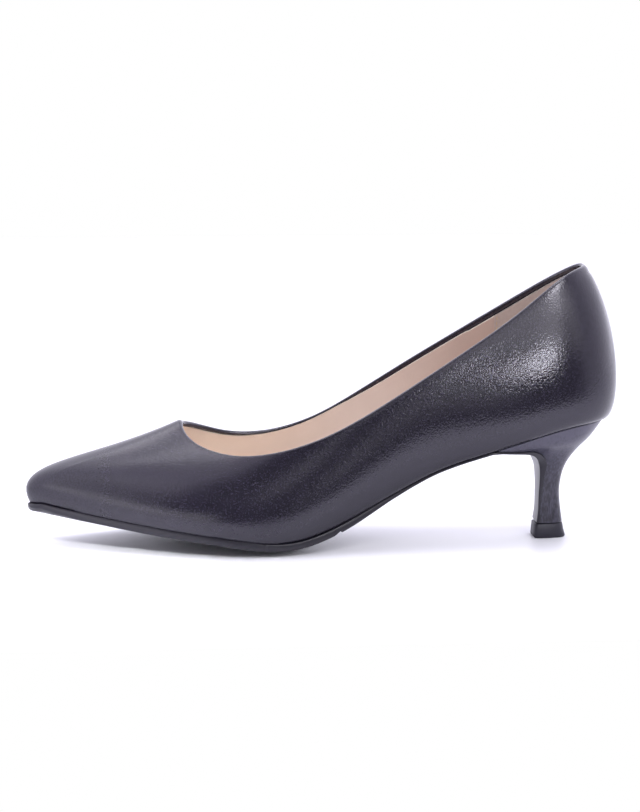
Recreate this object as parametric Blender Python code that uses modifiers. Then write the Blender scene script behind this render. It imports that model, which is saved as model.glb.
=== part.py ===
"""A plain pointed toe pump for the left foot, standing empty on its sole and heel.

Every size below is in millimetres. s is measured forward along the shoe from a datum just
behind the heel, y across it towards the inner side of the foot, and z up from the floor.
Points are turned into the object's frame, in metres, where a mesh is made: the toe points
to -X and the outer side of the foot faces -Y.
"""

import bmesh
import bpy
import numpy as np

MM = 0.001

# Sizes that the shapes follow from.
MIDDLE_S = 123.6
MIDDLE_Y = 0.4
SEAT_BACK = 6.4
TOE_TIP = 244.0
WALL = 1.6
GAP = 0.3
SOLE_GAP = 0.4
SWING = 0.3
CROWN = 1.0
SOLE_EDGE = 0.6
WAIST_EDGE = -0.3
FLAP_START = 55.0
INSOLE_THICK = 2.2
INSOLE_INSET = 2.8
INSOLE_LIFT = 2.3
MARGIN_KEPT_S = 0.93
MARGIN_KEPT_Y = 0.62
SEAT_INSET = 0.4

# Stations round the upper, from the back to the toe. Each has the place of the lower edge
# (feather) and of the top edge (topline) on the outer and the inner side of the foot.
# name, s, y outer, y inner | topline s, y outer, y inner, z outer, z inner
UPPER_ROWS = (
    ("back", 6.4, 0.0, 0.0, 15.4, 0.0, 0.0, 114.4, 114.4),
    ("back_curve", 14.0, -16.5, 16.5, 18.5, -8.5, 8.5, 113.7, 113.1),
    ("heel_side", 28.0, -21.4, 21.0, 30.0, -17.0, 16.5, 108.3, 106.0),
    ("quarter", 45.0, -22.6, 21.4, 47.0, -22.0, 21.5, 95.6, 95.3),
    ("shank", 65.0, -21.8, 18.8, 66.0, -25.0, 24.5, 82.7, 83.6),
    ("waist", 88.0, -21.8, 16.6, 86.0, -27.0, 26.5, 69.9, 71.3),
    ("instep", 112.0, -26.4, 19.6, 106.0, -28.3, 28.0, 57.6, 58.7),
    ("joint", 135.0, -32.8, 27.8, 125.0, -28.8, 28.6, 48.0, 48.3),
    ("ball", 155.0, -36.2, 35.0, 142.0, -27.5, 27.6, 42.4, 43.2),
    ("tread", 175.0, -33.8, 37.4, 157.0, -24.0, 24.6, 40.1, 42.6),
    ("vamp", 196.0, -25.8, 32.0, 168.5, -18.5, 20.0, 41.0, 45.2),
    ("toe_side", 216.0, -16.4, 22.6, 176.5, -11.8, 14.5, 43.8, 48.3),
    ("toe_corner", 232.0, -8.2, 13.0, 180.6, -4.8, 10.0, 47.2, 49.8),
    ("tip", 244.0, 2.2, 2.2, 181.8, 3.6, 3.6, 50.7, 50.7),
)

# How the wall leaves the feather and reaches the topline at each station.
# name, s | lift up and flare out from the feather | drop down from the topline on the outer
# and inner side, lean as a share of the way out to the feather, swell out
PROFILE_ROWS = (
    ("back", 6.4, 1.0, 9.0, 18.0, 18.0, 0.33, 12.0),
    ("heel_side", 28.0, 3.0, 9.5, 20.0, 20.0, 0.3, 9.0),
    ("quarter", 45.0, 4.5, 9.0, 19.0, 19.0, 0.3, 6.5),
    ("waist", 88.0, 6.0, 8.0, 15.0, 15.0, 0.3, 4.0),
    ("instep", 112.0, 7.0, 7.5, 13.0, 13.0, 0.3, 3.0),
    ("joint", 135.0, 8.0, 6.5, 11.0, 11.0, 0.33, 2.5),
    ("ball", 155.0, 9.0, 5.0, 9.5, 9.8, 0.4, 2.0),
    ("tread", 175.0, 11.0, 4.0, 8.2, 9.2, 0.5, 1.0),
    ("vamp", 196.0, 12.5, 3.5, 7.4, 9.6, 0.57, 0.0),
    ("toe_side", 216.0, 14.0, 4.5, 9.2, 11.8, 0.62, 0.0),
    ("toe_corner", 232.0, 16.0, 7.2, 13.0, 14.6, 0.64, 0.0),
    ("tip", 244.0, 18.8, 10.2, 17.8, 17.8, 0.65, 0.0),
)

# Height of the underside of the upper along the middle of the foot: seat, shank, ball, toe.
# s, z
BOTTOM_ROWS = (
    (0.0, 50.6),
    (8.0, 50.4),
    (18.0, 49.5),
    (30.0, 47.0),
    (42.0, 43.5),
    (55.0, 39.5),
    (68.0, 35.7),
    (82.0, 30.9),
    (95.0, 25.2),
    (104.0, 21.1),
    (113.0, 16.9),
    (122.0, 12.7),
    (130.0, 9.4),
    (138.0, 6.7),
    (146.0, 4.9),
    (155.0, 4.3),
    (164.0, 5.0),
    (177.0, 7.0),
    (190.0, 8.8),
    (206.0, 11.0),
    (221.0, 13.3),
    (234.0, 15.3),
    (246.0, 16.8),
)

# Outsole from the waist to the toe, with a small step where the tread begins.
# s, height of its edge, thickness along the middle
SOLE_ROWS = (
    (55.0, 1.1, 1.3),
    (82.0, 1.1, 1.5),
    (90.0, 1.3, 1.8),
    (98.0, 1.7, 2.2),
    (106.0, 2.3, 2.9),
    (114.0, 2.8, 3.5),
    (119.4, 3.0, 3.7),
    (119.9, 2.3, 3.0),
    (122.5, 3.0, 3.8),
    (132.0, 3.1, 4.4),
    (155.0, 3.3, 4.5),
    (180.0, 3.3, 4.3),
    (215.0, 3.2, 3.8),
    (226.0, 3.0, 3.4),
    (235.0, 2.6, 2.9),
    (245.0, 1.8, 2.0),
)

# Heel block from the seat down: back and front of each level, half its width, and the
# thickness of the outsole's flap in front of it.
# name, s back, z back, s front, z front, half width, flap
HEEL_ROWS = (
    ("seat", 6.8, 50.1, 54.0, 39.4, 21.4, 1.2),
    ("wing", 9.6, 46.3, 47.5, 38.9, 19.8, 1.2),
    ("under_wing", 12.4, 42.8, 42.0, 38.6, 17.5, 1.4),
    ("throat", 15.6, 39.6, 37.2, 38.0, 14.7, 2.1),
    ("shoulder", 18.9, 35.9, 33.1, 35.7, 11.7, 3.4),
    ("neck", 21.4, 32.2, 31.2, 31.5, 9.0, 3.6),
    ("column_top", 23.1, 28.0, 31.6, 27.0, 7.1, 2.4),
    ("column", 24.0, 23.5, 32.1, 22.5, 5.8, 1.7),
    ("column_mid", 24.3, 18.5, 32.6, 18.0, 5.0, 1.25),
    ("column_low", 23.7, 12.0, 32.8, 12.0, 4.9, 1.2),
    ("foot", 22.9, 6.3, 33.2, 6.3, 5.3, 1.5),
)

# Top piece from its upper face to the floor: name, s back, s front, half width, z
TOP_PIECE_ROWS = (
    ("upper_face", 22.9, 34.9, 5.3, 6.0),
    ("floor_edge", 21.6, 35.3, 5.9, 0.5),
    ("floor_face", 21.9, 35.1, 5.6, 0.0),
)

AROUND = 96
UP_WALL = (1.0, 0.86, 0.72, 0.59, 0.47, 0.37, 0.29, 0.22, 0.16, 0.11, 0.065, 0.03, 0.0)
ACROSS = 8
HEEL_LEVELS = 26


def column(rows, index):
    return np.array([row[index] for row in rows], float)


def ring_angle(s):
    """Where a station lies on one trip round the foot: 0 at the back, pi at the toe tip."""
    share = (np.asarray(s, float) - SEAT_BACK) / (TOE_TIP - SEAT_BACK)
    return np.arccos(np.clip(1 - 2 * share, -1, 1))


def spline(knots, values, period=None):
    """A smooth curve through the values, closed on itself after one period if that is given."""
    x = np.asarray(knots, float)
    y = np.asarray(values, float)
    if period:
        x = np.append(x, x[0] + period)
        y = np.append(y, y[0])
    h = np.diff(x)
    rise = np.diff(y) / h
    n = len(x)
    matrix = np.eye(n)
    right = np.zeros(n)
    for i in range(1, n - 1):
        matrix[i, i - 1 : i + 2] = h[i - 1], 2 * (h[i - 1] + h[i]), h[i]
        right[i] = 6 * (rise[i] - rise[i - 1])
    if period:
        matrix[0, [0, 1, -2]] = 2 * (h[0] + h[-1]), h[0], h[-1]
        right[0] = 6 * (rise[0] - rise[-1])
        matrix[-1, 0] = -1
    bend = np.linalg.solve(matrix, right)

    def at(where):
        where = np.asarray(where, float)
        where = x[0] + np.mod(where - x[0], period) if period else where
        i = np.clip(np.searchsorted(x, where) - 1, 0, n - 2)
        a = (x[i + 1] - where) / h[i]
        b = 1 - a
        sag = ((a**3 - a) * bend[i] + (b**3 - b) * bend[i + 1]) * h[i] ** 2 / 6
        return a * y[i] + b * y[i + 1] + sag

    return at


def round_trip(rows, outer, inner):
    """A closed curve of one column of a table, out along the outer side and back on the inner."""
    angle = ring_angle(column(rows, 1))
    knots = np.concatenate([angle, 2 * np.pi - angle[-2:0:-1]])
    values = np.concatenate([column(rows, outer), column(rows, inner)[-2:0:-1]])
    return spline(knots, values, 2 * np.pi)


feather_y = round_trip(UPPER_ROWS, 2, 3)
topline_s = round_trip(UPPER_ROWS, 4, 4)
topline_y = round_trip(UPPER_ROWS, 5, 6)
topline_z = round_trip(UPPER_ROWS, 7, 8)
lift = round_trip(PROFILE_ROWS, 2, 2)
flare = round_trip(PROFILE_ROWS, 3, 3)
drop = round_trip(PROFILE_ROWS, 4, 5)
lean = round_trip(PROFILE_ROWS, 6, 6)
swell = round_trip(PROFILE_ROWS, 7, 7)
bottom_line = spline(column(BOTTOM_ROWS, 0), column(BOTTOM_ROWS, 1))


def ease(value, start, end):
    share = np.clip((np.asarray(value, float) - start) / (end - start), 0, 1)
    return share * share * (3 - 2 * share)


def feather_s(angle):
    return SEAT_BACK + (TOE_TIP - SEAT_BACK) * (1 - np.cos(angle)) / 2


def underside(s, y):
    """Height of the upper's underside: the ball line slants, and the forepart is a little round."""
    angle = ring_angle(s)
    outer = feather_y(angle)
    inner = feather_y(2 * np.pi - angle)
    half = np.maximum((inner - outer) / 2, 6.0)
    across = np.clip((y - (inner + outer) / 2) / half, -1.2, 1.2)
    front = ease(s, 50, 110)
    return bottom_line(s - SWING * front * y) + CROWN * front * across**2


def outward(angle):
    """Unit direction in plan, away from the foot, at the feather line."""
    step = 1e-4
    ds = feather_s(angle + step) - feather_s(angle - step)
    dy = feather_y(angle + step) - feather_y(angle - step)
    size = np.hypot(ds, dy)
    return dy / size, -ds / size


def upper_wall(angle, up):
    """A point of the upper's outer face: angle round the foot, up from 0 feather to 1 topline."""
    s0 = feather_s(angle)
    y0 = feather_y(angle)
    z0 = underside(s0, y0)
    s3 = topline_s(angle)
    y3 = topline_y(angle)
    z3 = topline_z(angle)
    out_s, out_y = outward(angle)
    s1 = s0 + flare(angle) * out_s
    y1 = y0 + flare(angle) * out_y
    z1 = z0 + lift(angle)
    s2 = s3 + lean(angle) * (s0 - s3) + swell(angle) * out_s
    y2 = y3 + lean(angle) * (y0 - y3) + swell(angle) * out_y
    z2 = z3 - drop(angle)
    a = (1 - up) ** 3
    b = 3 * up * (1 - up) ** 2
    c = 3 * up**2 * (1 - up)
    d = up**3
    return np.stack(
        [
            a * s0 + b * s1 + c * s2 + d * s3,
            a * y0 + b * y1 + c * y2 + d * y3,
            a * z0 + b * z1 + c * z2 + d * z3,
        ],
        axis=-1,
    )


def inset_plan(angle, inset):
    """The feather line moved in (or, with a negative inset, out) by a set distance, in plan."""
    out_s, out_y = outward(angle)
    return feather_s(angle) - inset * out_s, feather_y(angle) - inset * out_y


def margin_ring(angle, share):
    """The turned-under edge of the upper: share 0 at the feather, 1 at its cut edge."""
    middle = (SEAT_BACK + TOE_TIP) / 2
    s0 = feather_s(angle)
    centre = (feather_y(angle) + feather_y(2 * np.pi - angle)) / 2
    keep_s = 1 - share * (1 - MARGIN_KEPT_S)
    keep_y = 1 - share * (1 - MARGIN_KEPT_Y)
    s = middle + (s0 - middle) * keep_s
    y = centre + (feather_y(angle) - centre) * keep_y
    return np.stack([s, y, underside(s, y)], axis=-1)


def make_mesh(name, points, faces, colour, roughness):
    points = np.asarray(points, float)
    placed = np.stack(
        [MIDDLE_S - points[:, 0], points[:, 1] - MIDDLE_Y, points[:, 2]], axis=-1
    )
    mesh = bpy.data.meshes.new(name)
    mesh.from_pydata((placed * MM).tolist(), [], faces)
    material = bpy.data.materials.new(name)
    material.use_nodes = True
    shader = material.node_tree.nodes["Principled BSDF"]
    shader.inputs["Base Color"].default_value = (*colour, 1)
    shader.inputs["Roughness"].default_value = roughness
    mesh.materials.append(material)
    part = bpy.data.objects.new(name, mesh)
    shoe.objects.link(part)
    return part


def loft(name, loops, colour, roughness, paired=False):
    """A closed skin over loops of points with the same count.

    Its ends are flat, or strips between the two arms of a U-shaped loop if paired is set.
    """
    loops = np.asarray(loops, float)
    rows, count = loops.shape[:2]
    faces = []
    for i in range(rows - 1):
        for j in range(count):
            k = (j + 1) % count
            faces.append((i * count + j, i * count + k, (i + 1) * count + k, (i + 1) * count + j))
    last = (rows - 1) * count
    if paired:
        for j in range((count - 1) // 2):
            corners = sorted({j, j + 1, count - 2 - j, count - 1 - j})
            faces.append(corners[::-1])
            faces.append([last + corner for corner in corners])
    else:
        faces.append(list(range(count - 1, -1, -1)))
        faces.append([last + j for j in range(count)])
    part = make_mesh(name, loops.reshape(-1, 3), faces, colour, roughness)
    body = bmesh.new()
    body.from_mesh(part.data)
    if body.calc_volume(signed=True) < 0:
        bmesh.ops.reverse_faces(body, faces=body.faces)
    body.to_mesh(part.data)
    body.free()
    return part


for old in list(bpy.data.objects):
    bpy.data.objects.remove(old)
shoe = bpy.data.collections.new("pointed_toe_pump")
bpy.context.scene.collection.children.link(shoe)

# Upper: one skin from the topline down to the feather and in under the foot, then thickened.
around = np.arange(AROUND) * 2 * np.pi / AROUND
rings = [upper_wall(around, up) for up in UP_WALL]
rings.append(margin_ring(around, 0.5))
rings.append(margin_ring(around, 1.0))
skin = []
for i in range(len(rings) - 1):
    for j in range(AROUND):
        k = (j + 1) % AROUND
        skin.append((i * AROUND + j, i * AROUND + k, (i + 1) * AROUND + k, (i + 1) * AROUND + j))
upper = make_mesh("upper", np.concatenate(rings), skin, (0.02, 0.02, 0.022), 0.5)
shell = upper.modifiers.new("wall", "SOLIDIFY")
shell.thickness = WALL * MM
shell.offset = -1
shell.use_even_offset = True
shell.use_quality_normals = True


def slab_loop(lower_s, lower_y, upper_s, upper_y, thick, lift_by):
    """One cross-section of the insole, from the outer edge across its top and back below."""
    across = np.linspace(0, 1, ACROSS + 1)
    s = lower_s + (upper_s - lower_s) * across
    y = lower_y + (upper_y - lower_y) * across
    z = underside(s, y) + lift_by
    top = np.stack([s, y, z + thick], axis=-1)
    low = np.stack([s, y, z], axis=-1)[::-1]
    return np.concatenate([top, low])


# Insole: lies on the turned-under edge, just inside the wall.
insole_loops = []
for angle in np.linspace(0.045 * np.pi, 0.965 * np.pi, 40):
    s_outer, y_outer = inset_plan(angle, INSOLE_INSET)
    s_inner, y_inner = inset_plan(2 * np.pi - angle, INSOLE_INSET)
    insole_loops.append(
        slab_loop(s_outer, y_outer, s_inner, y_inner, INSOLE_THICK, INSOLE_LIFT)
    )
loft("insole", insole_loops, (0.6, 0.42, 0.32), 0.6)


def sole_loop(top, edge, middle, normal_s, normal_z):
    """One cross-section of the outsole: upper face from outer to inner edge, then the tread."""
    across = np.linspace(-1, 1, ACROSS + 1)
    rim = top[[-1, 0]].copy()
    rim[:, 0] += normal_s * edge
    rim[:, 2] += normal_z * edge
    inset = 0.5 + 0.5 * 0.96 * across
    low = top[0] + (top[-1] - top[0]) * inset[:, None]
    low[:, 2] = np.interp(inset, np.linspace(0, 1, len(top)), top[:, 2])
    depth = edge + 0.25 * (middle - edge) + 0.75 * (middle - edge) * (1 - across**2)
    low[:, 0] += normal_s * depth
    low[:, 2] = np.maximum(low[:, 2] + normal_z * depth, 0.0)
    return np.concatenate([top, rim[:1], low[::-1], rim[1:]])


# Outsole: forepart and waist follow the underside of the upper.
share = np.linspace(0, 1, ACROSS + 1)
stops = np.concatenate([np.linspace(60, 116, 14), [119.4, 119.9, 122.5], np.linspace(126, 234, 22)])
angles = np.concatenate([ring_angle(FLAP_START + 1), ring_angle(stops), np.linspace(0.9, 0.994, 6) * np.pi], axis=None)
sole_loops = []
for angle in np.sort(angles)[::-1]:
    s = feather_s(angle)
    front = ease(s, 95, 130)
    edge_out = WAIST_EDGE + (SOLE_EDGE - WAIST_EDGE) * front
    s_outer, y_outer = inset_plan(angle, -edge_out)
    s_inner, y_inner = inset_plan(2 * np.pi - angle, -edge_out)
    ss = s_outer + (s_inner - s_outer) * share
    ys = y_outer + (y_inner - y_outer) * share
    top = np.stack([ss, ys, underside(ss, ys) - SOLE_GAP], axis=-1)
    middle_s = s - SWING * ease(s, 50, 110) * ys.mean()
    slope = float(bottom_line(middle_s + 0.5) - bottom_line(middle_s - 0.5))
    size = np.hypot(1, slope)
    edge = np.interp(s, column(SOLE_ROWS, 0), column(SOLE_ROWS, 1))
    middle = np.interp(s, column(SOLE_ROWS, 0), column(SOLE_ROWS, 2))
    sole_loops.append(sole_loop(top, edge, middle, slope / size, -1 / size))

# Heel: every level is the seat's own outline, scaled to that level's length and width.
front_angle = ring_angle(HEEL_ROWS[0][3])
seat_angles = np.linspace(-front_angle, front_angle, 33)
seat_s, seat_y = inset_plan(np.mod(seat_angles, 2 * np.pi), SEAT_INSET)
seat_z = underside(seat_s, seat_y) - GAP
along = (seat_s - seat_s.min()) / (seat_s[[0, -1]].mean() - seat_s.min())
sideways = np.where(seat_y < 0, seat_y / abs(seat_y[-1]), seat_y / abs(seat_y[0]))
level = np.linspace(0, len(HEEL_ROWS) - 1, HEEL_LEVELS)
s_back, z_back, s_front, z_front, half, flap = (
    spline(np.arange(len(HEEL_ROWS)), column(HEEL_ROWS, i))(level) for i in range(1, 7)
)
seatlike = np.clip(1 - level, 0, 1)
seat_shift_y = seat_y - sideways * half[0]
seat_shift_s = seat_s - (s_back[0] + along * (s_front[0] - s_back[0]))
seat_shift_z = seat_z - (z_back[0] + along * (z_front[0] - z_back[0]))
heel_loops = []
for i in range(HEEL_LEVELS):
    s = s_back[i] + along * (s_front[i] - s_back[i]) + seatlike[i] * seat_shift_s
    y = sideways * half[i] + seatlike[i] * seat_shift_y
    z = z_back[i] + along * (z_front[i] - z_back[i]) + seatlike[i] * seat_shift_z
    heel_loops.append(np.stack([s, y, z], axis=-1))
loft("heel", heel_loops, (0.02, 0.02, 0.022), 0.5, paired=True)

# The outsole's flap runs on under the wings and down the front of the heel.
run_s = np.gradient(s_front)
run_z = np.gradient(z_front)
run = np.hypot(run_s, run_z)
for i in range(1, HEEL_LEVELS):
    normal_s = -run_z[i] / run[i]
    normal_z = run_s[i] / run[i]
    outer, inner = heel_loops[i][-1], heel_loops[i][0]
    top = outer + (inner - outer) * share[:, None]
    top[:, 0] += GAP * normal_s
    top[:, 2] += GAP * normal_z
    sole_loops.append(sole_loop(top, flap[i] * 0.85, flap[i], normal_s, normal_z))
loft("outsole", sole_loops, (0.012, 0.012, 0.013), 0.35)

# Top piece: the same outline, flared to the floor.
piece_loops = []
for _, back, front, half_width, z in TOP_PIECE_ROWS:
    s = back + along * (front - back)
    piece_loops.append(np.stack([s, sideways * half_width, np.full_like(s, z)], axis=-1))
loft("top_piece", piece_loops, (0.012, 0.012, 0.012), 0.6, paired=True)
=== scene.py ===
"""Looks of a plain black pointed toe pump for the left foot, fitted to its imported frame.

Sizes are in millimetres until a mesh is made. s runs forward along the shoe from a datum just
behind the heel, y towards the inner side of the foot, z up from the floor. Points are turned
into the frame, in metres, in make_piece: the toe points to -X and the outer side faces -Y.
"""

import math

import bpy
import numpy as np
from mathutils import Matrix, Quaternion, Vector


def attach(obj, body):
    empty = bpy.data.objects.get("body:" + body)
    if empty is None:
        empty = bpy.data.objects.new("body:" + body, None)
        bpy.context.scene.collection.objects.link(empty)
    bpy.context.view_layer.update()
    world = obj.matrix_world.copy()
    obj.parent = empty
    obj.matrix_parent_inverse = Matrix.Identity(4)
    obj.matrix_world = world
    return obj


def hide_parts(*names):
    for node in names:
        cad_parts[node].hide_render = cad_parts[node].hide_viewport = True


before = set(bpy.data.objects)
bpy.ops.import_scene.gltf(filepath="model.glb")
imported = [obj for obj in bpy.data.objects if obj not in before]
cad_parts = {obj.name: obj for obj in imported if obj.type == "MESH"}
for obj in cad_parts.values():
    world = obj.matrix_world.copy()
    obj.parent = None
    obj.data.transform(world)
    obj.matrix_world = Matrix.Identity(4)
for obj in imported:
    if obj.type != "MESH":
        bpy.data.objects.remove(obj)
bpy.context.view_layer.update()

MM = 0.001
TURN = 2 * np.pi

# The last: the same stations and sizes as the solids of the frame.
MIDDLE_S = 123.6
MIDDLE_Y = 0.4
SEAT_BACK = 6.4
TOE_TIP = 244.0
SWING = 0.3
CROWN = 1.0
CROWN_REACH = 1.2
LEAST_HALF_WIDTH = 6.0
SEAT_TO_WAIST = (50, 110)
MARGIN_KEPT_S = 0.93
MARGIN_KEPT_Y = 0.62

# Stations round the upper, from the back to the toe.
# name, s, y outer, y inner | topline s, y outer, y inner, z outer, z inner
UPPER_ROWS = (
    ("back", 6.4, 0.0, 0.0, 15.4, 0.0, 0.0, 114.4, 114.4),
    ("back_curve", 14.0, -16.5, 16.5, 18.5, -8.5, 8.5, 113.7, 113.1),
    ("heel_side", 28.0, -21.4, 21.0, 30.0, -17.0, 16.5, 108.3, 106.0),
    ("quarter", 45.0, -22.6, 21.4, 47.0, -22.0, 21.5, 95.6, 95.3),
    ("shank", 65.0, -21.8, 18.8, 66.0, -25.0, 24.5, 82.7, 83.6),
    ("waist", 88.0, -21.8, 16.6, 86.0, -27.0, 26.5, 69.9, 71.3),
    ("instep", 112.0, -26.4, 19.6, 106.0, -28.3, 28.0, 57.6, 58.7),
    ("joint", 135.0, -32.8, 27.8, 125.0, -28.8, 28.6, 48.0, 48.3),
    ("ball", 155.0, -36.2, 35.0, 142.0, -27.5, 27.6, 42.4, 43.2),
    ("tread", 175.0, -33.8, 37.4, 157.0, -24.0, 24.6, 40.1, 42.6),
    ("vamp", 196.0, -25.8, 32.0, 168.5, -18.5, 20.0, 41.0, 45.2),
    ("toe_side", 216.0, -16.4, 22.6, 176.5, -11.8, 14.5, 43.8, 48.3),
    ("toe_corner", 232.0, -8.2, 13.0, 180.6, -4.8, 10.0, 47.2, 49.8),
    ("tip", 244.0, 2.2, 2.2, 181.8, 3.6, 3.6, 50.7, 50.7),
)

# How the wall leaves the lower edge (feather) and reaches the topline.
# name, s | lift, flare at the feather | drop outer, drop inner, lean, swell at the topline
PROFILE_ROWS = (
    ("back", 6.4, 1.0, 9.0, 18.0, 18.0, 0.33, 12.0),
    ("heel_side", 28.0, 3.0, 9.5, 20.0, 20.0, 0.3, 9.0),
    ("quarter", 45.0, 4.5, 9.0, 19.0, 19.0, 0.3, 6.5),
    ("waist", 88.0, 6.0, 8.0, 15.0, 15.0, 0.3, 4.0),
    ("instep", 112.0, 7.0, 7.5, 13.0, 13.0, 0.3, 3.0),
    ("joint", 135.0, 8.0, 6.5, 11.0, 11.0, 0.33, 2.5),
    ("ball", 155.0, 9.0, 5.0, 9.5, 9.8, 0.4, 2.0),
    ("tread", 175.0, 11.0, 4.0, 8.2, 9.2, 0.5, 1.0),
    ("vamp", 196.0, 12.5, 3.5, 7.4, 9.6, 0.57, 0.0),
    ("toe_side", 216.0, 14.0, 4.5, 9.2, 11.8, 0.62, 0.0),
    ("toe_corner", 232.0, 16.0, 7.2, 13.0, 14.6, 0.64, 0.0),
    ("tip", 244.0, 18.8, 10.2, 17.8, 17.8, 0.65, 0.0),
)

# Height of the upper's underside along the middle of the foot: s, z
BOTTOM_ROWS = (
    (0.0, 50.6),
    (8.0, 50.4),
    (18.0, 49.5),
    (30.0, 47.0),
    (42.0, 43.5),
    (55.0, 39.5),
    (68.0, 35.7),
    (82.0, 30.9),
    (95.0, 25.2),
    (104.0, 21.1),
    (113.0, 16.9),
    (122.0, 12.7),
    (130.0, 9.4),
    (138.0, 6.7),
    (146.0, 4.9),
    (155.0, 4.3),
    (164.0, 5.0),
    (177.0, 7.0),
    (190.0, 8.8),
    (206.0, 11.0),
    (221.0, 13.3),
    (234.0, 15.3),
    (246.0, 16.8),
)

# What is sewn and cut: the folded edge, the lining inside it and the sock on the insole.
LEATHER = 1.0
LEATHER_FOOT = 1.5
FOLD_THICK = 1.5
FOLD_STEP = 0.45
BEAD = 0.95
WIDER_BEAD = 0.45
OUTER_SIDE = 0.3
LINING_TOP = 1.05
LINING_FACE = 1.8
LINING_TUCK = 0.3
LINING_FOOT = 3.2
GRIP_FRONT = 47.0
GRIP_TUCK = 0.32
GRIP_FOOT = 3.0
GRIP_THICK = 0.45
GRIP_AIR = 0.04
STITCH_INSET = 1.0
STITCH_PITCH = 2.4
STITCH_LONG = 1.7
STITCH_THICK = 0.22
FIRST_STITCH = 1.2
LAST_STITCH = 6.0
SOCK_TOP = 4.5
SOCK_TOP_INSET = 2.2
SOCK_LOW = 2.4
SOCK_LOW_INSET = 2.6
SOCK_ROUND = 0.45
SOCK_RIMS_ACROSS = 14

# Where things end along the topline, as s: the doubled quarter, the step in the trimmed fold,
# and the narrow roll, which widens at the throat.
QUARTER_END = (90, 130)
FOLD_STEP_END = (60.0, 61.0)
NARROW_ROLL_END = (168, 180)

# Relief of the upper's outside. The doubled leather ends some way down from the topline. At the
# back there is a roll with a hollow under it: height, distance down and half width of each.
# The back and its seam reach round the foot by so many radians to either side.
DOUBLED = 0.1
DOUBLED_END = (3.0, 9.0)
BACK_ROLL = (0.3, 1.3, 1.0)
BACK_HOLLOW = (0.25, 3.8, 1.5)
BACK_REACH = 0.3
SEAM_DEEP = 0.28
SEAM_REACH = 0.008

# Width of the black fold that shows inside the topline: name, s, outer side, inner side
FOLD_ROWS = (
    ("back", 6.4, 3.0, 3.0),
    ("heel_side", 28.0, 3.0, 2.7),
    ("quarter", 45.0, 3.0, 2.8),
    ("shank", 65.0, 3.0, 2.6),
    ("waist", 88.0, 2.8, 2.6),
    ("instep", 112.0, 2.6, 1.9),
    ("narrowing", 124.0, 2.4, 1.05),
    ("joint", 140.0, 2.4, 0.9),
    ("ball", 155.0, 2.4, 0.95),
    ("tread", 172.0, 2.6, 1.7),
    ("vamp", 196.0, 2.6, 2.3),
    ("tip", 244.0, 2.6, 2.4),
)

# Heel block: name, s back, z back, s front, z front, half width, thickness of the sole's flap
HEEL_ROWS = (
    ("seat", 6.8, 50.1, 54.0, 39.4, 21.4, 1.2),
    ("wing", 9.6, 46.3, 47.5, 38.9, 19.8, 1.2),
    ("under_wing", 12.4, 42.8, 42.0, 38.6, 17.5, 1.4),
    ("throat", 15.6, 39.6, 37.2, 38.0, 14.7, 2.1),
    ("shoulder", 18.9, 35.9, 33.1, 35.7, 11.7, 3.4),
    ("neck", 21.4, 32.2, 31.2, 31.5, 9.0, 3.6),
    ("column_top", 23.1, 28.0, 31.6, 27.0, 7.1, 2.4),
    ("column", 24.0, 23.5, 32.1, 22.5, 5.8, 1.7),
    ("column_mid", 24.3, 18.5, 32.6, 18.0, 5.0, 1.25),
    ("column_low", 23.7, 12.0, 32.8, 12.0, 4.9, 1.2),
    ("foot", 22.9, 6.3, 33.2, 6.3, 5.3, 1.5),
)
SEAT_GAP = 0.3
SEAT_INSET = 0.4
FOOT_TUCK = 0.05

# Top piece, from its upper face to the floor, with both rims broken.
# s back, s front, half width, z
TOP_PIECE_ROWS = (
    (23.1, 34.7, 5.1, 6.0),
    (22.8, 34.9, 5.4, 5.75),
    (22.3, 35.1, 5.65, 3.0),
    (21.6, 35.3, 5.9, 0.5),
    (21.9, 35.1, 5.6, 0.0),
)
TIP_CORNER_LONG = 0.93
TIP_CORNER = ((1.0, 0.89), (0.945, 1.0))

# Outsole: s, height of its edge, thickness along the middle
SOLE_ROWS = (
    (55.0, 1.1, 1.3),
    (82.0, 1.1, 1.5),
    (90.0, 1.3, 1.8),
    (98.0, 1.7, 2.2),
    (106.0, 2.3, 2.9),
    (114.0, 2.8, 3.5),
    (119.4, 3.0, 3.7),
    (119.9, 2.3, 3.0),
    (122.5, 3.0, 3.8),
    (132.0, 3.1, 4.4),
    (155.0, 3.3, 4.5),
    (180.0, 3.3, 4.3),
    (215.0, 3.2, 3.8),
    (226.0, 3.2, 3.6),
    (235.0, 2.9, 3.2),
    (245.0, 2.2, 2.4),
)
# How far its edge stands out past the feather: at the waist, in the forepart, and more at the tip.
WAIST_EDGE = -0.3
SOLE_EDGE = 0.6
TIP_EDGE = 0.7
WAIST_END = (95, 130)
TIP_START = 226
# The gap to the upper, and its rims: rounding below and above (s, radius), a raised lip round the
# toe, the blunted tip, and the fine ridge where the halves of the mould met, which is as high as it
# is wide to either side.
SOLE_GAP = 0.05
SOLE_RIM = 0.3
UPPER_RIM = ((130, 160, 210, 244), (0.6, 0.8, 1.0, 1.2))
TOE_WELT = 0.8
WELT_START = (212, 242)
WELT_FLAT = 0.2
WELT_WIDE = 1.5
TIP_ROUND = 2.2
TIP_THINNED = 0.96
TIP_SUNK = 0.3
MOULD_LINE = 149.8
MOULD_RIDGE = 0.25
# The flap down the front of the heel, and its lip past the heel's edges, which is full a few of the
# heel's levels after the flap begins.
FLAP_START = 56.0
FLAP_LEVELS = (4, 20)
FLAP_LIP = 0.45
FLAP_GAP = 0.05
FLAP_RIM = 0.3
FLAP_EDGE = 0.85

# How finely the meshes are divided, and the angle from which an edge is shaded sharp.
AROUND = 480
WALL_STEPS = 52
ACROSS = 28
GRIP_COLUMNS = 160
GRIP_ROWS = 24
STITCH_RINGS = 5
STITCH_SIDES = 6
SOCK_LOOPS = 150
HEEL_POINTS = 97
HEEL_LEVELS = 101
SHARP_EDGE = math.radians(55)


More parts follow.
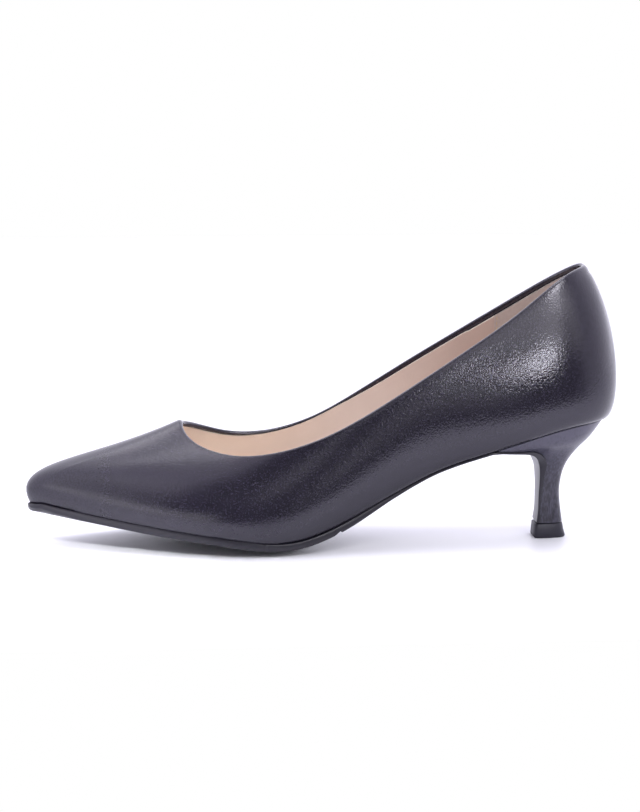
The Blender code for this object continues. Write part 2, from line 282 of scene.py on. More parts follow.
def column(rows, index):
    return np.array([row[index] for row in rows], float)


def ring_angle(s):
    """Where a station lies on one trip round the foot: 0 at the back, pi at the toe tip."""
    share = (np.asarray(s, float) - SEAT_BACK) / (TOE_TIP - SEAT_BACK)
    return np.arccos(np.clip(1 - 2 * share, -1, 1))


def spline(knots, values, period=None):
    """A smooth curve through the values, closed on itself after one period if that is given."""
    x = np.asarray(knots, float)
    y = np.asarray(values, float)
    if period:
        x = np.append(x, x[0] + period)
        y = np.append(y, y[0])
    h = np.diff(x)
    rise = np.diff(y) / h
    n = len(x)
    matrix = np.eye(n)
    right = np.zeros(n)
    for i in range(1, n - 1):
        matrix[i, i - 1 : i + 2] = h[i - 1], 2 * (h[i - 1] + h[i]), h[i]
        right[i] = 6 * (rise[i] - rise[i - 1])
    if period:
        matrix[0, [0, 1, -2]] = 2 * (h[0] + h[-1]), h[0], h[-1]
        right[0] = 6 * (rise[0] - rise[-1])
        matrix[-1, 0] = -1
    bend = np.linalg.solve(matrix, right)

    def at(where):
        where = np.asarray(where, float)
        where = x[0] + np.mod(where - x[0], period) if period else where
        i = np.clip(np.searchsorted(x, where) - 1, 0, n - 2)
        a = (x[i + 1] - where) / h[i]
        b = 1 - a
        sag = ((a**3 - a) * bend[i] + (b**3 - b) * bend[i + 1]) * h[i] ** 2 / 6
        return a * y[i] + b * y[i + 1] + sag

    return at


def round_trip(rows, outer, inner):
    """A closed curve of one column of a table, out along the outer side and back on the inner."""
    angle = ring_angle(column(rows, 1))
    knots = np.concatenate([angle, TURN - angle[-2:0:-1]])
    values = np.concatenate([column(rows, outer), column(rows, inner)[-2:0:-1]])
    return spline(knots, values, TURN)


feather_y = round_trip(UPPER_ROWS, 2, 3)
topline_s = round_trip(UPPER_ROWS, 4, 4)
topline_y = round_trip(UPPER_ROWS, 5, 6)
topline_z = round_trip(UPPER_ROWS, 7, 8)
lift = round_trip(PROFILE_ROWS, 2, 2)
flare = round_trip(PROFILE_ROWS, 3, 3)
drop = round_trip(PROFILE_ROWS, 4, 5)
lean = round_trip(PROFILE_ROWS, 6, 6)
swell = round_trip(PROFILE_ROWS, 7, 7)
fold_width = round_trip(FOLD_ROWS, 2, 3)
bottom_line = spline(column(BOTTOM_ROWS, 0), column(BOTTOM_ROWS, 1))


def ease(value, start, end):
    """From 0 at the start to 1 at the end, level at both."""
    share = np.clip((np.asarray(value, float) - start) / (end - start), 0, 1)
    return share * share * (3 - 2 * share)


def bump(value, centre, width):
    """A soft hill of height 1."""
    return np.exp(-(((value - centre) / width) ** 2))


def forepart(s):
    """0 at the seat and 1 from the waist on, where the underside is slanted and rounded."""
    return ease(s, *SEAT_TO_WAIST)


def feather_s(angle):
    return SEAT_BACK + (TOE_TIP - SEAT_BACK) * (1 - np.cos(angle)) / 2


def underside(s, y):
    """Height of the upper's underside: the ball line slants, and the forepart is a little round."""
    angle = ring_angle(s)
    outer = feather_y(angle)
    inner = feather_y(TURN - angle)
    half = np.maximum((inner - outer) / 2, LEAST_HALF_WIDTH)
    across = np.clip((y - (inner + outer) / 2) / half, -CROWN_REACH, CROWN_REACH)
    return bottom_line(s - SWING * forepart(s) * y) + CROWN * forepart(s) * across**2


def outward(angle):
    """Unit direction in plan, away from the foot, at the feather line."""
    step = 1e-4
    ds = feather_s(angle + step) - feather_s(angle - step)
    dy = feather_y(angle + step) - feather_y(angle - step)
    size = np.hypot(ds, dy)
    return dy / size, -ds / size


def upper_wall(angle, up):
    """A point of the upper's outer face: angle round the foot, up from 0 feather to 1 topline."""
    s0 = feather_s(angle)
    y0 = feather_y(angle)
    z0 = underside(s0, y0)
    s3 = topline_s(angle)
    y3 = topline_y(angle)
    z3 = topline_z(angle)
    out_s, out_y = outward(angle)
    s1 = s0 + flare(angle) * out_s
    y1 = y0 + flare(angle) * out_y
    z1 = z0 + lift(angle)
    s2 = s3 + lean(angle) * (s0 - s3) + swell(angle) * out_s
    y2 = y3 + lean(angle) * (y0 - y3) + swell(angle) * out_y
    z2 = z3 - drop(angle)
    a = (1 - up) ** 3
    b = 3 * up * (1 - up) ** 2
    c = 3 * up**2 * (1 - up)
    d = up**3
    return np.stack(
        [
            a * s0 + b * s1 + c * s2 + d * s3,
            a * y0 + b * y1 + c * y2 + d * y3,
            a * z0 + b * z1 + c * z2 + d * z3,
        ],
        axis=-1,
    )


def inset_plan(angle, inset):
    """The feather line moved in (or, with a negative inset, out) by a set distance, in plan."""
    out_s, out_y = outward(angle)
    return feather_s(angle) - inset * out_s, feather_y(angle) - inset * out_y


def margin_ring(angle, share):
    """The turned-under edge of the upper: share 0 at the feather, 1 at its cut edge."""
    middle = (SEAT_BACK + TOE_TIP) / 2
    s0 = feather_s(angle)
    centre = (feather_y(angle) + feather_y(TURN - angle)) / 2
    keep_s = 1 - share * (1 - MARGIN_KEPT_S)
    keep_y = 1 - share * (1 - MARGIN_KEPT_Y)
    s = middle + (s0 - middle) * keep_s
    y = centre + (feather_y(angle) - centre) * keep_y
    return np.stack([s, y, underside(s, y)], axis=-1)


HEIGHTS = np.linspace(0, 1, 301)


def wall_measure(angles):
    """Lengths of the wall on some stations, its points, and a finder that works in millimetres."""
    walls = upper_wall(angles[:, None], HEIGHTS[None, :])
    walked = np.linalg.norm(np.diff(walls, axis=1), axis=2)
    from_top = np.zeros(walls.shape[:2])
    from_top[:, :-1] = np.cumsum(walked[:, ::-1], axis=1)[:, ::-1]

    def point(distance, depth):
        """Points a distance down from the topline and a depth inside the outer face."""
        distance = np.broadcast_to(distance, len(angles))
        depth = np.broadcast_to(depth, len(angles))
        up = np.array(
            [np.interp(d, row[::-1], HEIGHTS[::-1]) for d, row in zip(distance, from_top)]
        )
        step = 1e-3
        along = upper_wall(angles + step, up) - upper_wall(angles - step, up)
        rising = upper_wall(angles, up + step) - upper_wall(angles, up - step)
        normal = np.cross(along, rising)
        normal /= np.linalg.norm(normal, axis=1, keepdims=True)
        return upper_wall(angles, up) - depth[:, None] * normal

    return walked.sum(axis=1), walls, point


def linear(hex_colour):
    """An sRGB hex colour as linear red, green, blue and alpha."""
    parts = [int(hex_colour[i : i + 2], 16) / 255 for i in (1, 3, 5)]
    return (*[p / 12.92 if p <= 0.04045 else ((p + 0.055) / 1.055) ** 2.4 for p in parts], 1.0)


def feed(tree, node, links):
    """Links from other nodes' outputs to a node's inputs."""
    for name, (source, output) in links.items():
        tree.links.new(source.outputs[output], node.inputs[name])


def add_node(tree, kind, values=None, links=None, **settings):
    """A node with its settings, the values of its inputs, and links from other nodes' outputs."""
    node = tree.nodes.new(kind)
    for name, value in settings.items():
        setattr(node, name, value)
    for name, value in (values or {}).items():
        node.inputs[name].default_value = value
    feed(tree, node, links or {})
    return node


def new_material(name, **shader_values):
    """An empty material with one Principled shader, and its object coordinates in metres."""
    material = bpy.data.materials.new(name)
    material.use_nodes = True
    tree = material.node_tree
    shader = tree.nodes["Principled BSDF"]
    for socket, value in shader_values.items():
        shader.inputs[socket.replace("_", " ")].default_value = value
    place = add_node(tree, "ShaderNodeTexCoord")
    return material, tree, shader, place


def grain_scale(millimetres):
    """Texture scale for a pattern that repeats about every so many millimetres."""
    return 1 / (millimetres * MM)


# Finished black leather and rubber mirror white light a little cool.
COOL_SHEEN = linear("#f6f3ff")

# Where the upper's leather is pulled flat over the toe, and where it is free again, along X.
PULLED_FLAT = {"From Min": -95 * MM, "From Max": -68 * MM}


# Box calf, aniline dyed black and plated: smooth, with a soft sheen that its fine grain breaks up
# into specks, and flatter and duller at the toe where the leather is pulled tight. The true grain
# is about 0.3 mm; it is drawn at 0.65 mm so that it shows in the render.
def black_box_calf():
    material, tree, shader, place = new_material(
        "black_box_calf", IOR=1.58, Specular_Tint=COOL_SHEEN
    )
    grain = add_node(
        tree, "ShaderNodeTexNoise",
        {"Scale": grain_scale(0.65), "Detail": 1.0, "Roughness": 0.5},
        {"Vector": (place, "Object")},
    )
    pebble = add_node(
        tree, "ShaderNodeTexVoronoi",
        {"Scale": grain_scale(0.65)}, {"Vector": (place, "Object")}, feature="SMOOTH_F1",
    )
    height = add_node(
        tree, "ShaderNodeMath",
        {1: 0.5}, {0: (pebble, "Distance"), 2: (grain, "Fac")}, operation="MULTIPLY_ADD",
    )
    axes = add_node(tree, "ShaderNodeSeparateXYZ", None, {0: (place, "Object")})
    grain_left = add_node(
        tree, "ShaderNodeMapRange", {**PULLED_FLAT, "To Min": 0.4}, {"Value": (axes, "X")}
    )
    relief = add_node(
        tree, "ShaderNodeBump",
        {"Distance": 0.078 * MM}, {"Height": (height, 0), "Strength": (grain_left, "Result")},
    )
    speck = add_node(
        tree, "ShaderNodeMapRange",
        {"From Min": 0.36, "From Max": 0.64}, {"Value": (grain, "Fac")},
    )
    dye = add_node(
        tree, "ShaderNodeMix",
        {"A": linear("#0f0d15"), "B": linear("#211e2a")}, {"Factor": (speck, "Result")},
        data_type="RGBA",
    )
    plating = add_node(
        tree, "ShaderNodeMapRange", {"To Min": 0.11, "To Max": 0.19}, {"Value": (grain, "Fac")}
    )
    duller = add_node(
        tree, "ShaderNodeMapRange",
        {**PULLED_FLAT, "To Min": 0.15, "To Max": 0.0}, {"Value": (axes, "X")},
    )
    gloss = add_node(
        tree, "ShaderNodeMath",
        None, {0: (plating, "Result"), 1: (duller, "Result")}, operation="ADD",
    )
    feed(tree, shader, {
        "Base Color": (dye, "Result"), "Roughness": (gloss, 0), "Normal": (relief, "Normal"),
    })
    return material


# The same calf stretched over the heel block: pulled thin, duller, with pull lines and
# scuffed specks, and painted paler up on the wing as painted light.
def stretched_calf():
    material, tree, shader, place = new_material(
        "stretched_calf", Roughness=0.33, IOR=1.6, Specular_Tint=COOL_SHEEN
    )
    stretch = add_node(
        tree, "ShaderNodeMapping", {"Scale": (1.0, 1.0, 0.35)}, {"Vector": (place, "Object")}
    )
    pulls = add_node(
        tree, "ShaderNodeTexNoise",
        {"Scale": grain_scale(0.8), "Detail": 3.0}, {"Vector": (stretch, "Vector")},
    )
    relief = add_node(
        tree, "ShaderNodeBump",
        {"Strength": 1.0, "Distance": 0.08 * MM}, {"Height": (pulls, "Fac")},
    )
    axes = add_node(tree, "ShaderNodeSeparateXYZ", None, {0: (place, "Object")})
    # painted light: the colour grows paler upwards over the wing
    wing = add_node(
        tree, "ShaderNodeMapRange",
        {"From Min": 25 * MM, "From Max": 46 * MM, "To Max": 0.8}, {"Value": (axes, "Z")},
    )
    speck = add_node(
        tree, "ShaderNodeMapRange", {"From Min": 0.4, "From Max": 0.68}, {"Value": (pulls, "Fac")}
    )
    # scuffed specks mixed with the painted light on the wing
    scuff_and_painted_light = add_node(
        tree, "ShaderNodeMath",
        {1: 0.8}, {0: (speck, "Result"), 2: (wing, "Result")}, operation="MULTIPLY_ADD",
    )
    dye = add_node(
        tree, "ShaderNodeMix",
        {"A": linear("#100f16"), "B": linear("#403e4d")}, {"Factor": (scuff_and_painted_light, 0)},
        data_type="RGBA",
    )
    feed(tree, shader, {"Base Color": (dye, "Result"), "Normal": (relief, "Normal")})
    return material


# Undyed pigskin lining: matt and warm, with pores and a slight mottle. Its colour is also painted:
# very pale at the front as painted light, and darker towards the heel as painted shade.
def pigskin_lining():
    material, tree, shader, place = new_material("pigskin_lining", Roughness=0.62, IOR=1.45)
    mottle = add_node(
        tree, "ShaderNodeTexNoise",
        {"Scale": grain_scale(9), "Detail": 4.0}, {"Vector": (place, "Object")},
    )
    pores = add_node(
        tree, "ShaderNodeTexVoronoi", {"Scale": grain_scale(0.9)}, {"Vector": (place, "Object")}
    )
    axes = add_node(tree, "ShaderNodeSeparateXYZ", None, {0: (place, "Object")})
    to_heel = add_node(
        tree, "ShaderNodeMapRange",
        {"From Min": -70 * MM, "From Max": 75 * MM}, {"Value": (axes, "X")},
    )
    # painted shade: the mottle mixed with a darkening towards the heel
    mottle_and_painted_shade = add_node(
        tree, "ShaderNodeMath",
        {1: 0.15}, {0: (mottle, "Fac"), 2: (to_heel, "Result")}, operation="MULTIPLY_ADD",
    )
    # painted light and shade: very pale at the front, darker at the heel
    tan = add_node(
        tree, "ShaderNodeMix",
        {"A": linear("#fdefe2"), "B": linear("#b8a197")}, {"Factor": (mottle_and_painted_shade, 0)},
        data_type="RGBA",
    )
    relief = add_node(
        tree, "ShaderNodeBump",
        {"Strength": 0.6, "Distance": 0.03 * MM}, {"Height": (pores, "Distance")},
    )
    feed(tree, shader, {"Base Color": (tan, "Result"), "Normal": (relief, "Normal")})
    return material


# Cream sock leather, smooth and a little lighter than the lining.
def sock_leather():
    material, tree, shader, place = new_material("sock_leather", Roughness=0.55, IOR=1.45)
    grain = add_node(
        tree, "ShaderNodeTexNoise",
        {"Scale": grain_scale(0.9), "Detail": 3.0}, {"Vector": (place, "Object")},
    )
    cream = add_node(
        tree, "ShaderNodeMix",
        {"A": linear("#e3d3c4"), "B": linear("#eaddd0")}, {"Factor": (grain, "Fac")},
        data_type="RGBA",
    )
    relief = add_node(
        tree, "ShaderNodeBump",
        {"Strength": 0.6, "Distance": 0.04 * MM}, {"Height": (grain, "Fac")},
    )
    feed(tree, shader, {"Base Color": (cream, "Result"), "Normal": (relief, "Normal")})
    return material


# Raw cut edge of the lining: paler than its face, and dull.
def cut_lining_edge():
    material, tree, shader, place = new_material("cut_lining_edge", Roughness=0.8)
    fibre = add_node(
        tree, "ShaderNodeTexNoise",
        {"Scale": grain_scale(1.5), "Detail": 2.0}, {"Vector": (place, "Object")},
    )
    pale = add_node(
        tree, "ShaderNodeMix",
        {"A": linear("#e2d5c8"), "B": linear("#efe5da")}, {"Factor": (fibre, "Fac")},
        data_type="RGBA",
    )
    feed(tree, shader, {"Base Color": (pale, "Result")})
    return material


# Greyish pigskin suede of the heel grip: a short nap that takes the shine away.
def pigskin_suede():
    material, tree, shader, place = new_material(
        "pigskin_suede", Roughness=0.9, Sheen_Weight=0.15
    )
    nap = add_node(
        tree, "ShaderNodeTexNoise",
        {"Scale": grain_scale(1.2), "Detail": 4.0}, {"Vector": (place, "Object")},
    )
    grey_tan = add_node(
        tree, "ShaderNodeMix",
        {"A": linear("#a89892"), "B": linear("#b9aaa4")}, {"Factor": (nap, "Fac")},
        data_type="RGBA",
    )
    feed(tree, shader, {"Base Color": (grey_tan, "Result")})
    return material


# Ochre polyester thread of the grip's seam, twisted and slightly shiny.
def polyester_thread():
    material, tree, shader, place = new_material("polyester_thread", Roughness=0.45)
    twist = add_node(
        tree, "ShaderNodeTexNoise",
        {"Scale": grain_scale(0.5), "Detail": 1.0}, {"Vector": (place, "Object")},
    )
    ochre = add_node(
        tree, "ShaderNodeMix",
        {"A": linear("#a98f6c"), "B": linear("#cbb494")}, {"Factor": (twist, "Fac")},
        data_type="RGBA",
    )
    feed(tree, shader, {"Base Color": (ochre, "Result")})
    return material


# Black moulded rubber: a satin skin with the mould's fine texture on it.
def moulded_rubber():
    material, tree, shader, place = new_material(
        "moulded_rubber", Roughness=0.3, IOR=1.52, Specular_Tint=COOL_SHEEN
    )
    texture = add_node(
        tree, "ShaderNodeTexNoise",
        {"Scale": grain_scale(0.8), "Detail": 2.0}, {"Vector": (place, "Object")},
    )
    wear = add_node(
        tree, "ShaderNodeTexNoise",
        {"Scale": grain_scale(14), "Detail": 3.0}, {"Vector": (place, "Object")},
    )
    black = add_node(
        tree, "ShaderNodeMix",
        {"A": linear("#0f0e14"), "B": linear("#18171e")}, {"Factor": (wear, "Fac")},
        data_type="RGBA",
    )
    relief = add_node(
        tree, "ShaderNodeBump",
        {"Strength": 1.0, "Distance": 0.02 * MM}, {"Height": (texture, "Fac")},
    )
    feed(tree, shader, {"Base Color": (black, "Result"), "Normal": (relief, "Normal")})
    return material


# Hard polyurethane of the top piece: duller than the sole, cut and buffed.
def buffed_polyurethane():
    material, tree, shader, place = new_material(
        "buffed_polyurethane", Roughness=0.5, IOR=1.5, Specular_Tint=COOL_SHEEN
    )
    buffing = add_node(
        tree, "ShaderNodeTexNoise",
        {"Scale": grain_scale(0.6), "Detail": 3.0}, {"Vector": (place, "Object")},
    )
    black = add_node(
        tree, "ShaderNodeMix",
        {"A": linear("#0f0f16"), "B": linear("#22212c")}, {"Factor": (buffing, "Fac")},
        data_type="RGBA",
    )
    relief = add_node(
        tree, "ShaderNodeBump",
        {"Strength": 1.0, "Distance": 0.03 * MM}, {"Height": (buffing, "Fac")},
    )
    feed(tree, shader, {"Base Color": (black, "Result"), "Normal": (relief, "Normal")})
    return material


# Opal acrylic of the table top: smooth and milky, with painted light: it glows towards its front
# edge, so that the floor stays white where it ends against the backdrop.
def opal_acrylic():
    material, tree, shader, place = new_material(
        "opal_acrylic", Roughness=0.4, IOR=1.4, Base_Color=linear("#eeeef3"),
        Emission_Color=linear("#f3f3ff"),
    )
    axes = add_node(tree, "ShaderNodeSeparateXYZ", None, {0: (place, "Object")})
    # painted glow: emission rising towards the table's front edge
    painted_front_glow = add_node(
        tree, "ShaderNodeMapRange",
        {"From Min": -0.10, "From Max": -0.18, "To Max": 0.14}, {"Value": (axes, "Y")},
    )
    feed(tree, shader, {"Emission Strength": (painted_front_glow, "Result")})
    return material


def make_piece(name, points, faces, material, slot, *replaced):
    """A smooth-shaded mesh in the frame that rides on the shoe."""
    points = np.asarray(points, float)
    placed = np.stack([MIDDLE_S - points[:, 0], points[:, 1] - MIDDLE_Y, points[:, 2]], axis=-1)
    mesh = bpy.data.meshes.new(name)
    mesh.from_pydata((placed * MM).tolist(), [], faces)
    mesh.shade_smooth()
    mesh.set_sharp_from_angle(angle=SHARP_EDGE)
    mesh.materials.append(material)
    piece = bpy.data.objects.new(name, mesh)
    bpy.context.scene.collection.objects.link(piece)
    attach(piece, "root")
    if replaced:
        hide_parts(*replaced)


def make_ring(name, rows, material, slot, *replaced):
    """A closed tube that runs round the foot and whose profile also closes on itself."""
    faces = []
    for i in range(len(rows)):
        k = (i + 1) % len(rows)
        for j in range(AROUND):
            m = (j + 1) % AROUND
            faces.append((i * AROUND + j, i * AROUND + m, k * AROUND + m, k * AROUND + j))
    make_piece(name, np.concatenate(rows), faces, material, slot, *replaced)


def loft_faces(rows, count, paired=False):
    """Faces of a skin over loops, closed at both ends, in strips if its loops are U-shaped."""
    faces = []
    for i in range(rows - 1):
        for j in range(count):
            k = (j + 1) % count
            faces.append((i * count + j, i * count + k, (i + 1) * count + k, (i + 1) * count + j))
    last = (rows - 1) * count
    if paired:
        for j in range((count - 1) // 2):
            corners = sorted({j, j + 1, count - 2 - j, count - 1 - j})
            faces.append(corners[::-1])
            faces.append([last + corner for corner in corners])
    else:
        faces.append(list(range(count - 1, -1, -1)))
        faces.append([last + j for j in range(count)])
    return faces


def make_loft(name, loops, material, slot, *replaced, paired=False):
    """A skin over loops of points with the same count, closed at both ends."""
    loops = np.array(loops)
    faces = loft_faces(*loops.shape[:2], paired)
    make_piece(name, loops.reshape(-1, 3), faces, material, slot, *replaced)


# What is known at each station round the foot: the wall, how far it is from the back seam, the
# width of the fold and the radius of the rolled edge, which is wider on the outer side.
stations = np.arange(AROUND) * TURN / AROUND
wall_length, walls, wall_point = wall_measure(stations)
from_seam = np.minimum(stations, TURN - stations)
rear = 1 - ease(topline_s(stations), *QUARTER_END)
inner_rear = (stations > np.pi) * (stations < TURN - BACK_REACH)
fold = fold_width(stations)
fold += FOLD_STEP * (1 - ease(topline_s(stations), *FOLD_STEP_END)) * inner_rear
outer_side = ease(np.sin(stations), 0, OUTER_SIDE)
at_throat = ease(topline_s(stations), *NARROW_ROLL_END)
bead = BEAD + WIDER_BEAD * np.maximum(outer_side, at_throat)


def leather_relief(distance):
    """How far the outside stands proud at a distance down from the topline."""
    double = DOUBLED * (1 - ease(distance, *DOUBLED_END)) * rear
    roll, *roll_place = BACK_ROLL
    hollow, *hollow_place = BACK_HOLLOW
    rolled = roll * bump(distance, *roll_place) - hollow * bump(distance, *hollow_place)
    back_seam = -SEAM_DEEP * bump(from_seam, 0.0, SEAM_REACH)
    return double + rolled * bump(from_seam, 0.0, BACK_REACH) + back_seam


def make_upper_leather():
    """One skin: up its hidden inner face, over the folded edge, down the outside and under."""
    rows = []
    hidden = wall_length - LEATHER_FOOT
    for share in np.linspace(0.04, 1, 8):
        rows.append(wall_point(hidden - share * (hidden - fold), LEATHER))
    # The fold's cut edge, broken a little, and its face up to the roll.
    rows.append(wall_point(fold - 0.04, FOLD_THICK - 0.1))
    rows.append(wall_point(fold - 0.12, FOLD_THICK))
    rows.append(wall_point(0.35 * bead + 0.65 * fold, FOLD_THICK))
    for turn in np.radians(np.linspace(170, 0, 14)):
        rows.append(wall_point(bead - bead * np.sin(turn), bead - bead * np.cos(turn)))
    for share in np.linspace(0, 1, WALL_STEPS)[1:] ** 1.3:
        distance = bead + share * (wall_length - bead)
        rows.append(wall_point(distance, -leather_relief(distance) * ease(share, 0, 0.03)))
    # The margin turned under, out to its cut edge and back inside.
    for share in (0.12, 0.5, 1.0):
        rows.append(margin_ring(stations, share))
    for share in (1.0, 0.5):
        rows.append(margin_ring(stations, share) + np.array([0, 0, LEATHER]))
    make_ring("upper_leather", rows, black_box_calf(), "upper_leather", "upper")


def make_lining():
    """The lining runs from under the fold down to the sock."""
    def row(share, depth):
        down = fold + LINING_TUCK + share * (wall_length - LINING_FOOT - fold)
        return wall_point(down, depth)

    rows = [wall_point(fold + LINING_TUCK, LINING_TOP)]
    rows += [row(share, LINING_FACE) for share in np.linspace(0, 1, 40)]
    rows += [row(share, LINING_TOP) for share in np.linspace(1, 0.02, 10)]
    make_ring("lining", rows, pigskin_lining(), "insole_sock")


def make_lining_edge():
    """The lining's raw edge, trimmed along the fold after sewing, shows as a pale line."""
    profile = (
        (0.29, LINING_TOP),
        (0.03, LINING_TOP),
        (0.0, FOLD_THICK),
        (0.0, LINING_FACE - 0.1),
        (0.08, LINING_FACE + 0.02),
        (0.29, LINING_FACE + 0.02),
    )
    rows = [wall_point(fold + down, depth) for down, depth in profile]
    make_ring("lining_edge", rows, cut_lining_edge(), "insole_sock")


def make_heel_grip():
    """A suede piece sewn over the lining round the back."""
    angles = np.linspace(-ring_angle(GRIP_FRONT), ring_angle(GRIP_FRONT), GRIP_COLUMNS)
    length, _, point = wall_measure(angles)
    top = fold_width(angles) + GRIP_TUCK
    profile = [(share, LINING_FACE + GRIP_AIR) for share in np.linspace(0, 1, GRIP_ROWS)]
    profile += [(share, LINING_FACE + GRIP_THICK) for share in np.linspace(1, 0, GRIP_ROWS)]
    rows = [point(top + share * (length - GRIP_FOOT - top), depth) for share, depth in profile]
    make_loft("heel_grip", np.stack(rows, axis=1), pigskin_suede(), "insole_sock")


def make_grip_stitches():
    """Stitches down the grip's two front edges."""
    along_foot = np.array([1.0, 0.0, 0.0])
    face = LINING_FACE + GRIP_THICK
    outer_seam = np.full(2, ring_angle(GRIP_FRONT - STITCH_INSET))
    points = []
    faces = []
    for seam in (outer_seam, TURN - outer_seam):
        length, _, point = wall_measure(seam)
        first_one = fold_width(seam[0]) + FIRST_STITCH
        for start in np.arange(first_one, length[0] - LAST_STITCH, STITCH_PITCH):
            first = point(start, face)[0]
            last = point(start + STITCH_LONG, face)[0]
            into = point(start, face + 1)[0] - first
            base = len(points)
            for share in np.linspace(0, 1, STITCH_RINGS):
                centre = first + share * (last - first)
                thick = STITCH_THICK * (0.45 + 0.55 * np.sin(np.pi * share))
                for turn in np.arange(STITCH_SIDES) * TURN / STITCH_SIDES:
                    spoke = np.cos(turn) * along_foot + np.sin(turn) * into
                    points.append(centre + thick * spoke)
            stitch_faces = loft_faces(STITCH_RINGS, STITCH_SIDES)
            faces += [[base + corner for corner in corners] for corners in stitch_faces]
    make_piece("grip_stitches", points, faces, polyester_thread(), "insole_sock")


ACROSS_SHARES = np.linspace(0, 1, ACROSS + 1)
height_over = walls[:, :, 2] - underside(walls[:, :1, 0], walls[:, :1, 1])


def sock_edge(angle, over, inset):
    """Where the sock's edge lies at a height over the underside, inset from the outer face."""
    j = int(round(angle / TURN * AROUND)) % AROUND
    up = np.interp(over, height_over[j], HEIGHTS)
    s, y, _ = upper_wall(np.array([angle]), np.array([up]))[0]
    out_s, out_y = outward(np.array([angle]))
    return s - inset * out_s[0], y - inset * out_y[0]


def make_sock():
    """The sock lies on the insole, with a rounded edge, and reaches the lining all round."""
    loops = []
    for angle in np.linspace(0.012, 0.985, SOCK_LOOPS) * np.pi:
        loop = []
        for over, inset, spread in (
            (SOCK_TOP, SOCK_TOP_INSET, ACROSS_SHARES),
            (SOCK_LOW, SOCK_LOW_INSET, ACROSS_SHARES[::-1]),
        ):
            s_outer, y_outer = sock_edge(angle, over, inset)
            s_inner, y_inner = sock_edge(TURN - angle, over, inset)
            s = s_outer + (s_inner - s_outer) * spread
            y = y_outer + (y_inner - y_outer) * spread
            from_rim = np.minimum(1, np.minimum(spread, 1 - spread) * SOCK_RIMS_ACROSS)
            rounded = SOCK_ROUND * (1 - (1 - from_rim) ** 2) - SOCK_ROUND
            z = underside(s, y) + over + (rounded if over == SOCK_TOP else 0)
            loop.append(np.stack([s, y, z], axis=-1))
        loops.append(np.concatenate(loop))
    make_loft("sock", loops, sock_leather(), "insole_sock", "insole")


def heel_shape(points, levels):
    """Shares along and across the seat's outline, the heel's loops from the seat down, its front
    line, and the thickness of the flap there. Every level is the seat's own outline, scaled to
    that level's length and width.
    """
    front_angle = ring_angle(HEEL_ROWS[0][3])
    seat_angles = np.linspace(-front_angle, front_angle, points)
    seat_s, seat_y = inset_plan(np.mod(seat_angles, TURN), SEAT_INSET)
    seat_z = underside(seat_s, seat_y) - SEAT_GAP
    along = (seat_s - seat_s.min()) / (seat_s[[0, -1]].mean() - seat_s.min())
    sideways = np.where(seat_y < 0, seat_y / abs(seat_y[-1]), seat_y / abs(seat_y[0]))
    back_s, back_z, front_s, front_z, half, flap = (
        spline(np.arange(len(HEEL_ROWS)), column(HEEL_ROWS, i))(levels) for i in range(1, 7)
    )
    seatlike = np.clip(1 - levels, 0, 1)
    top = HEEL_ROWS[0]
    shift_y = seat_y - sideways * top[5]
    shift_s = seat_s - (top[1] + along * (top[3] - top[1]))
    shift_z = seat_z - (top[2] + along * (top[4] - top[2]))
    loops = []
    for i in range(len(levels)):
        s = back_s[i] + along * (front_s[i] - back_s[i]) + seatlike[i] * shift_s
        y = sideways * half[i] + seatlike[i] * shift_y
        z = back_z[i] + along * (front_z[i] - back_z[i]) + seatlike[i] * shift_z
        loops.append(np.stack([s, y, z], axis=-1))
    return along, sideways, np.array(loops), front_s, front_z, flap


seat_along, seat_across, heel_loops, front_s, front_z, flap_thick = heel_shape(
    HEEL_POINTS, np.linspace(0, len(HEEL_ROWS) - 1, HEEL_LEVELS)
)
foot = heel_loops[-1, :, :2]
heel_loops[-1, :, :2] += FOOT_TUCK * (foot.mean(axis=0) - foot)


def make_heel_cover():
    """Leather drawn over the block, from the seat to the top piece."""
    make_loft("heel_cover", heel_loops, stretched_calf(), "heel_cover", "heel", paired=True)


def make_heel_tip():
    """The heel's outline again with its front corners cut off, flared to the floor."""
    kept = seat_along < TIP_CORNER_LONG
    corner_along, corner_across = np.array(TIP_CORNER).T
    along = np.concatenate([corner_along, seat_along[kept], corner_along[::-1]])
    across = np.concatenate([corner_across, seat_across[kept], -corner_across[::-1]])
    loops = []
    for back, front, half_width, z in TOP_PIECE_ROWS:
        s = back + along * (front - back)
        loops.append(np.stack([s, across * half_width, np.full_like(s, z)], axis=-1))
    make_loft(
        "heel_tip", loops, buffed_polyurethane(), "top_piece_rubber", "top_piece", paired=True
    )


def sole_loop(top, edge, middle, normal_s, normal_z, upper_rim):
    """One cross-section: over the upper face, down the inner edge, back below, up the outer one."""
    width = np.linalg.norm(top[-1] - top[0])
    rim = min(SOLE_RIM, 0.1 * width, 0.3 * edge)
    round_off = min(upper_rim, 0.2 * width, 0.6 * edge)
    reach = round_off / width + (1 - 2 * round_off / width) * ACROSS_SHARES
    side = np.array([
        0.13 * round_off, 0.5 * round_off, round_off, 0.5 * (round_off + edge - rim),
        edge - rim, edge - 0.4 * rim,
    ])
    tuck = np.array([0.5 * round_off, 0.13 * round_off, 0.0, 0.0, 0.0, 0.3 * rim]) / width
    below = rim / width + (1 - 2 * rim / width) * np.linspace(1, 0, ACROSS + 1)
    spread = np.concatenate([reach, 1 - tuck, below, tuck[::-1]])
    across = 2 * below - 1
    tread = edge + (middle - edge) * (1 - across**2)
    depth = np.concatenate([np.zeros(len(reach)), side, tread, side[::-1]])
    loop = top[0] + (top[-1] - top[0]) * spread[:, None]
    loop[:, 2] = np.interp(spread, np.linspace(0, 1, len(top)), top[:, 2])
    loop[:, 0] += normal_s * depth
    loop[:, 2] = np.maximum(loop[:, 2] + normal_z * depth, 0.0)
    return loop


